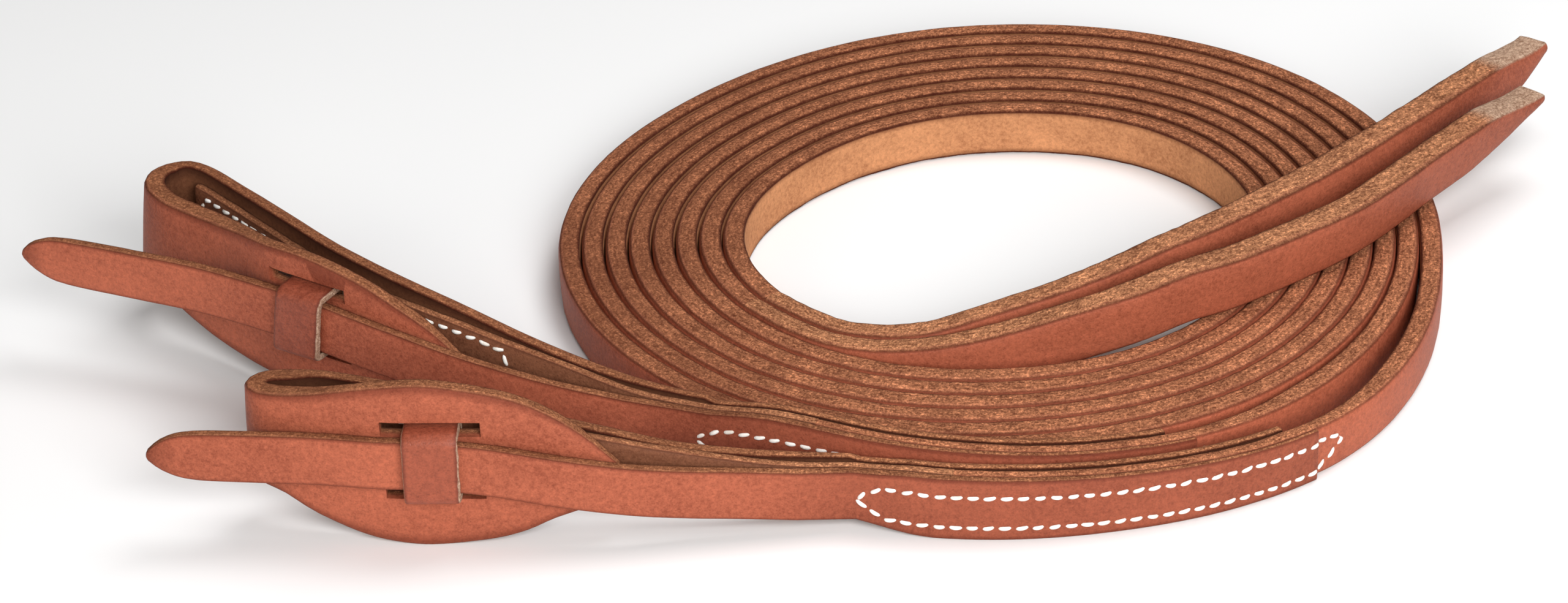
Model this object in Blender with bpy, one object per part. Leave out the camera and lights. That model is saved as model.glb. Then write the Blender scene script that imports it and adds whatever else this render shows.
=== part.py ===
"""A pair of split leather reins with quick-change bit ends, wound together on edge into one flat coil.

Each rein is a long harness-leather strap. Its bit end is sewn between two thinner straps: the tongue
strap outside it and the loop strap behind it. The loop strap folds round the bit ring and comes back as
a wide slotted flap, and a leather keeper through both slots holds the tongue on the flap. The heavy
tails lie across the coil. Lengths are in millimetres until a mesh is made, in metres.
"""
import math

import bmesh
import bpy

MM = 0.001
GAP = 0.3                        # room between leathers that touch

# Straps
REIN_WIDTH = 12.7
REIN_THICK = 5.2
REIN_LAP_THICK = (2.2, 3.6)      # skived inside the sewn lap: at the bit end, at the coil end
TONGUE_THICK = (2.4, 0.9)        # the same for the tongue strap, feathered out on the rein
LOOP_THICK = 3.4
LOOP_LAP_THICK = 2.4
FLAP_END_THICK = 2.0
TAIL_WIDTH = 14.0
TAIL_THICK = 8.0
EDGE_BEVEL = 0.6                 # corners of the grain side
THREAD = 0.8                     # diameter

# Whole object: moves the plan below so that the object's box is centred on the origin
PLAN_SHIFT = (46.856, 2.352)

# Coil. A bearing is in degrees from the near side (-Y), anticlockwise seen from above.
COIL_CENTRE = (-3.6, 3.8)
BEARING_STEP = 7.5
FIRST_RADIUS = 110.2             # grain face of the front rein where its first turn starts
PAIR_PITCH = 11.6                # how far one turn of both reins goes in
COIL_END = 1380.0
BEARING_STOP = 45.0              # a hand-wound coil is not round: extra radius and pitch at every stop
EXTRA_RADIUS = (-1.2, 1.5, 3.2, 6.8, 4.8, 1.7, 4.4, 1.0)
EXTRA_PITCH = (-0.2, -0.3, -0.5, 0.5, 1.0, 0.3, 0.0, -0.1)
PUSH_END = 88.0                 # bearing where the first turn is back on the round
THICKER_FROM, THICKER_THICK = 1200.0, 5.4

# Sewn laps: bearings of both ends of each layer, radius of the tongue's face, height of the middle
LAPS = {
    "front": dict(left=-15.2, tongue_right=38.5, loop_right=35.5,
                  face=((-16, 116.05), (0, 116.1), (15, 116.9), (30, 118.7), (39, 119.4)),
                  middle=((-15.2, 9.6), (-6, 8.2), (38.5, 6.8), (50, 6.35))),
    "rear": dict(left=-36.0, tongue_right=26.0, loop_right=23.0,
                 face=((-36, 112.4), (-33, 110.6), (-30, 109.1), (-26.25, 107.8), (-22.5, 107.1),
                       (-18, 106.9)),
                 middle=((-36, 12.3), (-6, 10.2), (18, 7.8), (26, 6.8), (38, 6.35))),
}
LAP_STEP = 3.75
LAP_HALF_WIDTH = ((0.0, 6.35), (0.14, 8.0), (0.6, 7.4), (1.0, 6.7))   # along the lap, from its bit end
HINGE_BEARING = 0.4              # the cut between a lap and its bit end
TAIL_BEARING = 0.9               # the cut between the coil and a tail

# Loop straps, from the flap's free end round the fold to the lap: x, y, middle height, half width
LOOPS = {
    "front": ((-85.5, -109.4, 15.6, 4.6), (-93.6, -109.8, 19.0, 10.0), (-100.6, -110.0, 20.6, 13.9),
              (-107.2, -110.2, 20.8, 17.2), (-114.8, -110.3, 20.9, 19.4), (-126.5, -110.1, 21.15, 21.15),
              (-134.5, -109.9, 21.2, 20.9), (-143.8, -108.8, 21.4, 19.3), (-153.7, -106.9, 22.4, 15.8),
              (-161, -105.0, 24.0, 12.8), (-166.6, -102.3, 24.4, 11.8), (-168.6, -98.9, 24.4, 11.8),
              (-166.6, -95.6, 24.4, 11.8), (-161.2, -94.2, 24.3, 11.8), (-150.6, -95.6, 24.0, 11.8),
              (-135.8, -97.5, 22.5, 11.4), (-121, -99.5, 21.0, 11.0), (-105.4, -101.8, 19.0, 9.8),
              (-90, -103.0, 16.5, 8.8), (-75, -103.6, 13.6, 8.0), (-60, -103.6, 11.6, 7.7),
              (-47, -102.9, 10.3, 7.6)),
    "rear": ((-123.2, -70.0, 17.0, 4.6), (-131.7, -67.6, 20.2, 10.0), (-140.4, -64.6, 21.2, 14.6),
             (-147, -61.8, 21.5, 17.6), (-154.6, -58.0, 22.2, 19.2), (-162.4, -53.3, 23.1, 19.3),
             (-169.4, -48.9, 23.6, 18.6), (-177.6, -41.6, 23.3, 17.3), (-186.5, -33.6, 23.4, 15.2),
             (-195, -26.6, 24.6, 13.4), (-202.5, -20.0, 26.2, 11.8), (-207, -12.6, 26.3, 11.8),
             (-206.6, -5.6, 26.3, 11.8), (-201.6, -1.4, 26.2, 11.8), (-194, -4.0, 26.0, 11.8),
             (-183.5, -13.6, 25.2, 12.0), (-170.5, -27.0, 24.8, 12.2), (-157.3, -39.6, 23.8, 12.2),
             (-141.7, -51.2, 22.4, 11.9), (-125.2, -59.6, 20.1, 10.6), (-110, -66.2, 17.1, 9.2),
             (-96, -71.8, 14.7, 8.2), (-82, -77.3, 13.0, 7.8)),
}
FLAP_THIN_LENGTH = 14.0          # the flap thins to its free end
LAP_THIN_LENGTH = 30.0           # the back leaf thins to the lap
INNER_END_FROM = {"front": 14, "rear": 15}      # loop point where the rein's own end stops, before the fold

# Tongues, from the tip to the lap: x, y, middle height, half width. The tip flexes outside the keeper.
TIPS = {
    "front": ((-192, -106.9, 22.2, 1.8), (-190.5, -107.0, 22.2, 3.8), (-186.5, -107.3, 22.3, 5.6),
              (-180.5, -107.8, 22.4, 6.3), (-166.5, -109.4, 22.8, 6.35), (-152, -111.2, 23.2, 6.35),
              (-139.4, -113.2, 23.3, 6.35)),
    "rear": ((-235.8, -24.8, 26.7, 1.8), (-234.3, -25.4, 26.7, 3.8), (-230, -27.0, 26.6, 5.6),
             (-223.5, -29.3, 26.5, 6.3), (-206, -36.0, 26.5, 6.35), (-189, -43.4, 26.9, 6.35),
             (-173.6, -51.6, 27.0, 6.35)),
}
TONGUES = {
    "front": ((-138.7, -113.3, 23.3, 6.35), (-126.9, -113.6, 22.9, 6.5), (-114, -113.8, 21.2, 6.5),
              (-98, -113.5, 17.8, 6.4), (-83, -112.6, 14.9, 6.35), (-70, -111.1, 13.0, 6.35),
              (-60, -110.0, 12.0, 6.35), (-47, -108.7, 10.6, 6.35)),
    "rear": ((-173.0, -51.95, 27.0, 6.35), (-163, -57.4, 26.6, 6.5), (-152, -63.4, 25.4, 6.5),
             (-140, -68.6, 23.4, 6.4), (-124, -73.9, 19.9, 6.35), (-105, -79.0, 16.4, 6.35),
             (-87, -82.9, 14.0, 6.35)),
}

# Keepers: place and height of the middle on the tongue, direction, and how far behind it the flap is
KEEPERS = {
    "front": dict(at=(-126.9, -113.6), middle=22.8, turn=0.0, flap_behind=3.9),
    "rear": dict(at=(-163, -57.4), middle=26.5, turn=-28.6, flap_behind=4.6),
}
KEEPER_LENGTH = 12.4
KEEPER_WALL = 1.9
KEEPER_ROOM = 0.5
KEEPER_INNER_HALF = 7.3
SLOT_LENGTH = 22.5
SLOT_HEIGHT = 3.7

# Tails, from the coil to the tip: x, y, height of the lower edge, lean of the top towards the outside
TAILS = {
    "front": ((-50.2, -39.8, 0.0, 0), (-39.5, -47.6, 0.0, 0), (-28, -51.3, 0.2, 0), (-14, -51.6, 1.0, 0),
              (1, -49.6, 3.4, 0), (15, -47.8, 7.0, 1), (30, -45.2, 10.8, 2), (42.2, -39.9, 13.1, 3),
              (54.3, -33.4, 13.2, 4), (70.2, -21.4, 13.2, 6), (82, -11.6, 13.2, 8), (93, 0.6, 13.3, 9),
              (104, 14.5, 13.5, 10), (115, 27.5, 14.2, 10), (126, 40, 17.5, 10), (135.6, 51, 22.0, 10)),
    "rear": ((-47.6, -33.7, 0.0, 0), (-39.6, -40.4, 0.0, 0), (-31.7, -43.8, 0.2, 0), (-24, -45.2, 0.5, 0),
             (-15, -44.4, 1.2, 0), (0.5, -40.0, 3.8, 0), (13.5, -36.6, 6.6, 1), (26, -32.6, 9.6, 1),
             (38.5, -26.6, 12.4, 0), (50.6, -19.0, 13.2, -2), (77, 4.8, 13.2, -4), (94.7, 23.5, 13.3, -6),
             (112, 43.0, 13.6, -7), (124, 57.0, 15.6, -8), (132.5, 68.5, 18.6, -8), (139.1, 78.5, 22.0, -8)),
}
TAIL_GROWS = 60.0                # length over which the strap widens into the tail
TAIL_THICKENS = 160.0            # and thickens
TIP_CUT_LENGTH = 26.0            # slanting cut along the top edge of each tip
TIP_CUT_DROP = 3.0

LEATHER = (0.42, 0.135, 0.070)
LEATHER_DARK = (0.34, 0.090, 0.050)
THREAD_WHITE = (0.90, 0.87, 0.80)


def smooth_between(stops, x):
    """Value at x between (x, value) stops, level at every stop."""
    if x <= stops[0][0]:
        return stops[0][1]
    for (x0, v0), (x1, v1) in zip(stops, stops[1:]):
        if x <= x1:
            t = (x - x0) / (x1 - x0)
            return v0 + (v1 - v0) * t * t * (3 - 2 * t)
    return stops[-1][1]


def straight_between(stops, x):
    """Value at x on straight runs between (x, value) stops."""
    if x <= stops[0][0]:
        return stops[0][1]
    for (x0, v0), (x1, v1) in zip(stops, stops[1:]):
        if x <= x1:
            return v0 + (v1 - v0) * (x - x0) / (x1 - x0)
    return stops[-1][1]


def through(p0, p1, p2, p3, t):
    """Catmull-Rom value between p1 and p2."""
    return 0.5 * (2 * p1 + (p2 - p0) * t + (2 * p0 - 5 * p1 + 4 * p2 - p3) * t * t
                  + (3 * p1 - p0 - 3 * p2 + p3) * t * t * t)


def round_table(table, bearing):
    """Smooth value of a table with one entry for each stop round the coil."""
    place = (bearing % 360.0) / BEARING_STOP
    i = int(place)
    near = [table[(i + k) % len(table)] for k in (-1, 0, 1, 2)]
    return through(*near, place - i)


def smooth_route(points, step=7.0):
    """Stations on a smooth curve through points of any number of values."""
    stations = []
    count = len(points)
    for i in range(count - 1):
        four = [points[max(i - 1, 0)], points[i], points[i + 1], points[min(i + 2, count - 1)]]
        length = math.dist(points[i][:2], points[i + 1][:2])
        parts = max(1, round(length / step))
        for k in range(parts):
            stations.append(tuple(through(*values, k / parts) for values in zip(*four)))
    stations.append(tuple(points[-1]))
    return stations


def polar(radius, bearing):
    turn = math.radians(bearing)
    return (COIL_CENTRE[0] + radius * math.sin(turn), COIL_CENTRE[1] - radius * math.cos(turn))


def normals(line):
    """Unit vector to the right of the way along, at each station of a plan line."""
    out = []
    for i in range(len(line)):
        a, b = line[max(i - 1, 0)], line[min(i + 1, len(line) - 1)]
        dx, dy = b[0] - a[0], b[1] - a[1]
        size = math.hypot(dx, dy)
        out.append((dy / size, -dx / size))
    return out


def lengths(line):
    total, out = 0.0, [0.0]
    for a, b in zip(line, line[1:]):
        total += math.dist(a[:2], b[:2])
        out.append(total)
    return out


def material(name, colour, roughness):
    mat = bpy.data.materials.new(name)
    mat.use_nodes = True
    shader = mat.node_tree.nodes["Principled BSDF"]
    shader.inputs["Base Color"].default_value = (*colour, 1.0)
    shader.inputs["Roughness"].default_value = roughness
    return mat


def in_metres(x, y, z=0.0):
    return ((x + PLAN_SHIFT[0]) * MM, (y + PLAN_SHIFT[1]) * MM, z * MM)


def add_mesh(name, points, faces, mat):
    bm = bmesh.new()
    verts = [bm.verts.new(in_metres(*point)) for point in points]
    for face in faces:
        bm.faces.new([verts[i] for i in face])
    bmesh.ops.recalc_face_normals(bm, faces=bm.faces)
    mesh = bpy.data.meshes.new(name)
    bm.to_mesh(mesh)
    bm.free()
    mesh.materials.append(mat)
    mesh.shade_smooth()
    mesh.set_sharp_from_angle(angle=math.radians(32))
    obj = bpy.data.objects.new(name, mesh)
    bpy.context.scene.collection.objects.link(obj)
    return obj


def sweep(name, rings, mat, closed=False):
    """A closed skin over rings of points, with flat ends unless the rings close on themselves."""
    size = len(rings[0])
    points = [p for ring in rings for p in ring]
    faces = []
    last = len(rings) if closed else len(rings) - 1
    for i in range(last):
        j = (i + 1) % len(rings)
        for k in range(size):
            m = (k + 1) % size
            faces.append((i * size + k, i * size + m, j * size + m, j * size + k))
    if not closed:
        faces.append(tuple(range(size)))
        faces.append(tuple(range((len(rings) - 1) * size, len(rings) * size)))
    return add_mesh(name, points, faces, mat)


def strap(name, stations, thick, mat, grain=1.0, lean=None):
    """A strap on edge. Stations are x, y, middle height, half width; grain is +1 on the right side."""
    rings = []
    leans = lean or [0.0] * len(stations)
    for (x, y, middle, half), (nx, ny), t, slope in zip(stations, normals(stations), thick, leans):
        bevel = min(EDGE_BEVEL, 0.3 * t, 0.3 * half)
        outline = ((-t / 2, -half), (t / 2 - bevel, -half), (t / 2, -half + bevel),
                   (t / 2, half - bevel), (t / 2 - bevel, half), (-t / 2, half))
        ring = []
        for off, z in outline:
            off = off * grain + math.tan(math.radians(slope)) * z
            ring.append((x + nx * off, y + ny * off, middle + z))
        rings.append(ring)
    return sweep(name, rings, mat)


def extra_push(rein, bearing):
    """How far the first turn stands off the round coil where it leaves the sewn lap."""
    lap = LAPS[rein]
    end = lap["tongue_right"]
    face = straight_between(lap["face"], end) - TONGUE_THICK[1] - GAP
    return (face - round_radius(rein, end)) * smooth_between(((end, 1.0), (PUSH_END, 0.0)), bearing)


def round_radius(rein, bearing):
    pitch = PAIR_PITCH + round_table(EXTRA_PITCH, bearing)
    radius = FIRST_RADIUS + round_table(EXTRA_RADIUS, bearing) - pitch * bearing / 360.0
    return radius - (pitch / 2 if rein == "rear" else 0.0)


def lap_share(rein, bearing):
    lap = LAPS[rein]
    return min(max((bearing - lap["left"]) / (lap["tongue_right"] - lap["left"]), 0.0), 1.0)


def tongue_thick(rein, bearing):
    return TONGUE_THICK[0] + (TONGUE_THICK[1] - TONGUE_THICK[0]) * lap_share(rein, bearing)


def rein_face(rein, bearing):
    """Radius of the rein's grain face at any bearing along its winding."""
    lap = LAPS[rein]
    if bearing <= lap["tongue_right"]:
        return straight_between(lap["face"], bearing) - tongue_thick(rein, bearing) - GAP
    return round_radius(rein, bearing) + extra_push(rein, bearing)


def rein_thick(rein, bearing):
    end = LAPS[rein]["tongue_right"]
    if bearing <= end:
        return REIN_LAP_THICK[0] + (REIN_LAP_THICK[1] - REIN_LAP_THICK[0]) * lap_share(rein, bearing)
    return smooth_between(((end, REIN_LAP_THICK[1]), (end + 20, REIN_THICK),
                           (THICKER_FROM, REIN_THICK), (COIL_END, THICKER_THICK)), bearing)


def bearings(first, last, step):
    """Bearings from first to last, on whole steps in between so that neighbours' sections line up."""
    inner = [k * step for k in range(math.ceil((first + 1) / step), math.floor((last - 1) / step) + 1)]
    return [first] + inner + [last]


def make_coil(rein, mat):
    lap = LAPS[rein]
    fine = bearings(lap["left"], BEARING_STEP * 12, BEARING_STEP / 2)
    coarse = bearings(BEARING_STEP * 13, COIL_END, BEARING_STEP)
    stations, thick = [], []
    for bearing in fine + coarse:
        t = rein_thick(rein, bearing)
        x, y = polar(rein_face(rein, bearing) - t / 2, bearing)
        stations.append((x, y, straight_between(lap["middle"], bearing), REIN_WIDTH / 2))
        thick.append(t)
    strap(rein + "_rein_coil", stations, thick, mat)


def lap_stations(rein, right, radius_of):
    lap = LAPS[rein]
    stations = []
    for bearing in bearings(lap["left"], right, LAP_STEP):
        x, y = polar(radius_of(bearing), bearing)
        share = lap_share(rein, bearing)
        half = straight_between(LAP_HALF_WIDTH, share)
        stations.append((x, y, straight_between(lap["middle"], bearing), half))
    return stations, bearings(lap["left"], right, LAP_STEP)


def make_laps(rein, outer_mat, inner_mat):
    lap = LAPS[rein]
    middle = lambda b: straight_between(lap["face"], b) - tongue_thick(rein, b) / 2
    stations, places = lap_stations(rein, lap["tongue_right"], middle)
    strap(rein + "_tongue_lap", stations, [tongue_thick(rein, b) for b in places], outer_mat)
    behind = lambda b: rein_face(rein, b) - rein_thick(rein, b) - GAP - LOOP_LAP_THICK / 2
    stations, places = lap_stations(rein, lap["loop_right"], behind)
    strap(rein + "_loop_lap", stations, [LOOP_LAP_THICK] * len(places), inner_mat, grain=-1.0)


def at_hinge(rein, inward):
    """Where a layer of the bit end meets the lap, a set depth inside the tongue's face."""
    bearing = LAPS[rein]["left"] - HINGE_BEARING
    return polar(LAPS[rein]["face"][0][1] - inward, bearing)


def loop_route(rein):
    depth = TONGUE_THICK[0] + GAP + REIN_LAP_THICK[0] + GAP + LOOP_LAP_THICK / 2
    return smooth_route(LOOPS[rein] + ((*at_hinge(rein, depth), LAPS[rein]["middle"][0][1], 7.0),))


def loop_thick(stations):
    run = lengths(stations)
    thick = []
    for s in run:
        from_flap = smooth_between(((0, FLAP_END_THICK), (FLAP_THIN_LENGTH, LOOP_THICK)), s)
        from_lap = smooth_between(((0, LOOP_LAP_THICK), (LAP_THIN_LENGTH, LOOP_THICK)), run[-1] - s)
        thick.append(min(from_flap, from_lap))
    return thick


def make_loop(rein, mat):
    stations = loop_route(rein)
    thick = loop_thick(stations)
    loop = strap(rein + "_loop_strap", stations, thick, mat, grain=-1.0)
    for name, side in (("upper", 1), ("lower", -1)):
        cutter = slot_cutter(rein, rein + "_" + name + "_slot_cutter", side)
        cut = loop.modifiers.new(name + " slot", "BOOLEAN")
        cut.operation = "DIFFERENCE"
        cut.solver = "EXACT"
        cut.object = cutter


def keeper_frame(rein):
    """The keeper's middle, its direction along the strap and its direction outwards."""
    keeper = KEEPERS[rein]
    turn = math.radians(keeper["turn"])
    along = (math.cos(turn), math.sin(turn))
    return keeper["at"], along, (along[1], -along[0])


def slot_cutter(rein, name, side):
    at, along, out = keeper_frame(rein)
    centre = KEEPER_INNER_HALF + KEEPER_WALL / 2
    deep = KEEPERS[rein]["flap_behind"]
    points = []
    faces = ((0, 1, 3, 2), (4, 6, 7, 5), (0, 4, 5, 1), (2, 3, 7, 6), (0, 2, 6, 4), (1, 5, 7, 3))
    for u in (-SLOT_LENGTH / 2, SLOT_LENGTH / 2):
        for v in (-deep - 3.4, -deep + 3.4):
            for w in (-SLOT_HEIGHT / 2, SLOT_HEIGHT / 2):
                points.append((at[0] + along[0] * u + out[0] * v, at[1] + along[1] * u + out[1] * v,
                               KEEPERS[rein]["middle"] + side * centre + w))
    cutter = add_mesh(name, points, faces, bpy.data.materials["leather"])
    cutter.hide_render = True
    cutter.display_type = "WIRE"
    return cutter


def make_inner_end(rein, mat):
    """The rein's own end, behind the tongue: it runs on along the loop strap's back leaf."""
    whole = loop_route(rein)
    start = LOOPS[rein][INNER_END_FROM[rein]]
    first = min(range(len(whole)), key=lambda i: math.dist(whole[i][:2], start[:2]))
    stations = []
    layers = list(zip(whole, normals(whole), loop_thick(whole)))
    for (x, y, middle, _), (nx, ny), behind in layers[first:-1]:
        off = behind / 2 + GAP + REIN_LAP_THICK[0] / 2
        stations.append((x + nx * off, y + ny * off, middle, REIN_WIDTH / 2))
    depth = TONGUE_THICK[0] + GAP + REIN_LAP_THICK[0] / 2
    stations.append((*at_hinge(rein, depth), LAPS[rein]["middle"][0][1], REIN_WIDTH / 2))
    strap(rein + "_rein_inner_end", stations, [REIN_LAP_THICK[0]] * len(stations), mat)
    return stations


def make_tongue(rein, mat):
    tip = smooth_route(TIPS[rein])
    strap(rein + "_tongue_tip", tip, [TONGUE_THICK[0]] * len(tip), mat)
    end = (*at_hinge(rein, TONGUE_THICK[0] / 2), LAPS[rein]["middle"][0][1], REIN_WIDTH / 2)
    stations = smooth_route(TONGUES[rein] + (end,))
    strap(rein + "_tongue", stations, [TONGUE_THICK[0]] * len(stations), mat)


def keeper_outline(width, height, corner, parts=3):
    """A rectangle with round corners, about its own centre."""
    points = []
    for k, (sx, sy) in enumerate(((1, 1), (-1, 1), (-1, -1), (1, -1))):
        for i in range(parts + 1):
            turn = math.radians(90 * k + 90 * i / parts)
            points.append((sx * (width / 2 - corner) + corner * math.cos(turn),
                           sy * (height / 2 - corner) + corner * math.sin(turn)))
    return points


def make_keeper(rein, mat):
    at, along, out = keeper_frame(rein)
    front = TONGUE_THICK[0] / 2 + KEEPER_ROOM
    back = -(KEEPERS[rein]["flap_behind"] + LOOP_THICK / 2 + KEEPER_ROOM)
    width, height = front - back, 2 * KEEPER_INNER_HALF
    inner = keeper_outline(width, height, 0.6)
    outer = keeper_outline(width + 2 * KEEPER_WALL, height + 2 * KEEPER_WALL, 1.0 + KEEPER_WALL)
    count = len(inner)
    points, faces = [], []
    for u in (-KEEPER_LENGTH / 2, KEEPER_LENGTH / 2):
        for outline in (outer, inner):
            for v, w in outline:
                v += (front + back) / 2
                points.append((at[0] + along[0] * u + out[0] * v, at[1] + along[1] * u + out[1] * v,
                               KEEPERS[rein]["middle"] + w))
    for k in range(count):
        m = (k + 1) % count
        faces.append((k, m, 2 * count + m, 2 * count + k))
        faces.append((count + k, 3 * count + k, 3 * count + m, count + m))
        faces.append((k, count + k, count + m, m))
        faces.append((2 * count + k, 2 * count + m, 3 * count + m, 3 * count + k))
    add_mesh(rein + "_keeper", points, faces, mat)


def make_tail(rein, mat):
    joint = COIL_END + TAIL_BEARING
    start = (*polar(rein_face(rein, joint) - THICKER_THICK / 2, joint), 0.0, 0.0)
    stations = smooth_route((start,) + TAILS[rein], 8.0)
    run = lengths(stations)
    out, thick, leans = [], [], []
    for (x, y, low, lean), s in zip(stations, run):
        left = run[-1] - s
        low = max(low, 0.0)
        grow = smooth_between(((0, 0.0), (TAIL_GROWS, 1.0)), s)
        width = REIN_WIDTH + (TAIL_WIDTH - REIN_WIDTH) * grow
        straight = smooth_between(((0, 0.0), (TIP_CUT_LENGTH, 1.0)), left)
        base = min(low, TAILS[rein][-5][2])
        top = base + width - TIP_CUT_DROP * (1 - straight)
        out.append((x, y, (low + top) / 2, (top - low) / 2))
        thicker = smooth_between(((0, 0.0), (TAIL_THICKENS, 1.0)), s)
        thick.append(THICKER_THICK + (TAIL_THICK - THICKER_THICK) * thicker)
        leans.append(lean)
    strap(rein + "_rein_tail", out, thick, mat, lean=leans)


def thread_ring(name, path, mat):
    """A closed thin tube along a closed path of points, with each point's outward direction in plan."""
    rings = []
    count = len(path)
    for i, (x, y, z, nx, ny) in enumerate(path):
        ax, ay, az = path[i - 1][:3]
        bx, by, bz = path[(i + 1) % count][:3]
        tx, ty, tz = bx - ax, by - ay, bz - az
        # Across the thread in the leather's face: the outward direction crossed with the thread's own
        cx, cy, cz = ny * tz, -nx * tz, nx * ty - ny * tx
        size = math.sqrt(cx * cx + cy * cy + cz * cz)
        ring = []
        for k in range(6):
            turn = math.radians(60 * k)
            a, b = THREAD / 2 * math.cos(turn), THREAD / 2 * math.sin(turn)
            ring.append((x + nx * a + cx / size * b, y + ny * a + cy / size * b, z + cz / size * b))
        rings.append(ring)
    return sweep(name, rings, mat, closed=True)


def pointed_loop(upper):
    """The lower row of a stitch line, as the mirror of the upper one, joined to it at both points."""
    lower = [(s, -w) for s, w in upper[-2:0:-1]]
    return list(upper) + lower


def make_lap_stitching(rein, mat):
    lap = LAPS[rein]
    left, right = lap["left"] + 1.2, lap["tongue_right"] + 4.0
    row = 3.9
    upper = [(left, 0.0), (left + 2.2, row * 0.7), (left + 4.5, row)]
    upper += [(b, row) for b in bearings(left + 5, right - 6, LAP_STEP * 1.5)]
    upper += [(right - 2.5, row * 0.8), (right, 0.0)]
    path = []
    for bearing, w in pointed_loop(upper):
        face = straight_between(lap["face"], bearing)
        if bearing > lap["tongue_right"]:
            step = ((lap["tongue_right"] + 1.6, TONGUE_THICK[1] + GAP), (right, 0.0))
            face = rein_face(rein, bearing) + straight_between(step, bearing)
        x, y = polar(face + GAP + THREAD / 2 + 0.15, bearing)
        turn = math.radians(bearing)
        path.append((x, y, straight_between(lap["middle"], bearing) + w, math.sin(turn), -math.cos(turn)))
    thread_ring(rein + "_lap_stitching", path, mat)


def make_end_stitching(rein, stations, mat):
    run = lengths(stations)
    first, last = 4.0, {"front": 50.0, "rear": 84.0}[rein]
    row = 3.4
    upper = [(first, 0.0), (first + 3.0, row)]
    places = [s for s in run if first + 5 < s < last - 5]
    upper += [(s, row) for s in places] + [(last - 3.0, row), (last, 0.0)]
    sides = normals(stations)
    path = []
    for s, w in pointed_loop(upper):
        i = max(k for k in range(len(run) - 1) if run[k] <= s)
        t = (s - run[i]) / (run[i + 1] - run[i])
        x, y, middle = (stations[i][k] + (stations[i + 1][k] - stations[i][k]) * t for k in range(3))
        nx, ny = (sides[i][k] + (sides[i + 1][k] - sides[i][k]) * t for k in range(2))
        off = REIN_LAP_THICK[0] / 2 + GAP + THREAD / 2
        path.append((x + nx * off, y + ny * off, middle + w, nx, ny))
    thread_ring(rein + "_end_stitching", path, mat)


def add_joint(name, at, pieces, parent=None):
    """An empty on a joint's axis, with the pieces that move about it as its children."""
    empty = bpy.data.objects.new(name, None)
    empty.empty_display_size = 0.01
    empty.location = in_metres(*at)
    bpy.context.scene.collection.objects.link(empty)
    if parent:
        empty.parent = parent
    bpy.context.view_layer.update()
    if parent:
        empty.matrix_parent_inverse = parent.matrix_world.inverted()
        bpy.context.view_layer.update()
    for piece in pieces:
        obj = bpy.data.objects[piece]
        obj.parent = empty
        obj.matrix_parent_inverse = empty.matrix_world.inverted()
    return empty


def add_joints(rein):
    """The bit end swings at the lap, with its keeper and tongue tip on it, and the tail at the coil."""
    lap = LAPS[rein]
    cut = lap["left"] - HINGE_BEARING / 2
    depth = {"front": 0.0, "rear": 3.9}[rein]
    pieces = [rein + end for end in ("_tongue", "_loop_strap", "_rein_inner_end", "_end_stitching")]
    bit_end = add_joint(rein + "_bit_end_joint", polar(lap["face"][0][1] - depth, cut), pieces)
    add_joint(rein + "_keeper_joint", KEEPERS[rein]["at"], [rein + "_keeper"], bit_end)
    (x0, y0), (x1, y1) = TIPS[rein][-1][:2], TONGUES[rein][0][:2]
    length = math.dist((x0, y0), (x1, y1))
    out = TONGUE_THICK[0] / 2 / length
    on_face = ((x0 + x1) / 2 + (y1 - y0) * out, (y0 + y1) / 2 - (x1 - x0) * out)
    add_joint(rein + "_tongue_tip_joint", on_face, [rein + "_tongue_tip"], bit_end)
    cut = COIL_END + TAIL_BEARING / 2
    inside = rein_face(rein, cut) - THICKER_THICK
    add_joint(rein + "_tail_joint", polar(inside, cut), [rein + "_rein_tail"])


def build():
    for obj in list(bpy.data.objects):
        bpy.data.objects.remove(obj, do_unlink=True)
    leather = material("leather", LEATHER, 0.5)
    dark = material("leather_lap", LEATHER_DARK, 0.45)
    thread = material("thread", THREAD_WHITE, 0.8)
    for rein in ("front", "rear"):
        make_coil(rein, leather)
        make_laps(rein, dark, leather)
        make_loop(rein, leather)
        inner = make_inner_end(rein, leather)
        make_tongue(rein, leather)
        make_keeper(rein, dark)
        make_tail(rein, leather)
        make_lap_stitching(rein, thread)
        make_end_stitching(rein, inner, thread)
        add_joints(rein)


build()
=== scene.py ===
"""The looks of a pair of split leather reins, wound together on edge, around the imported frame.

Routes are in millimetres in the plan of the coil, and become metres when a mesh is made.
"""
import math
import random

import bmesh
import bpy
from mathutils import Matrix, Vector, kdtree, noise


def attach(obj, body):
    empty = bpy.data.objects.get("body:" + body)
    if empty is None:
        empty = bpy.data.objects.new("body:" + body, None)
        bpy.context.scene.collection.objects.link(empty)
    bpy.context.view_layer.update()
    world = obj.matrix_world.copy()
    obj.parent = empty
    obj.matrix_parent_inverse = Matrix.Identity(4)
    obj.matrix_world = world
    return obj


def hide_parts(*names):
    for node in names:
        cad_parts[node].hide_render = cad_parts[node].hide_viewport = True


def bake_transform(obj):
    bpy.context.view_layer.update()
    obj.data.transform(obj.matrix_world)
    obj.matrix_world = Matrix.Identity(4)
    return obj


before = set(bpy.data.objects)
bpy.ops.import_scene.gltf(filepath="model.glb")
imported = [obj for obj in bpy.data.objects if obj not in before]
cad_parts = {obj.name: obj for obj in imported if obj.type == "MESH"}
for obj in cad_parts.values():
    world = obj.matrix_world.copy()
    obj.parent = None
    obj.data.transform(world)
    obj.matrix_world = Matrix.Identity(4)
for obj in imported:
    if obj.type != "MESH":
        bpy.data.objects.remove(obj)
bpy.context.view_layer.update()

MM = 0.001
PLAN_SHIFT = (46.856, 2.352)     # from the plan of the coil to the frame
GAP = 0.3

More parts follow.
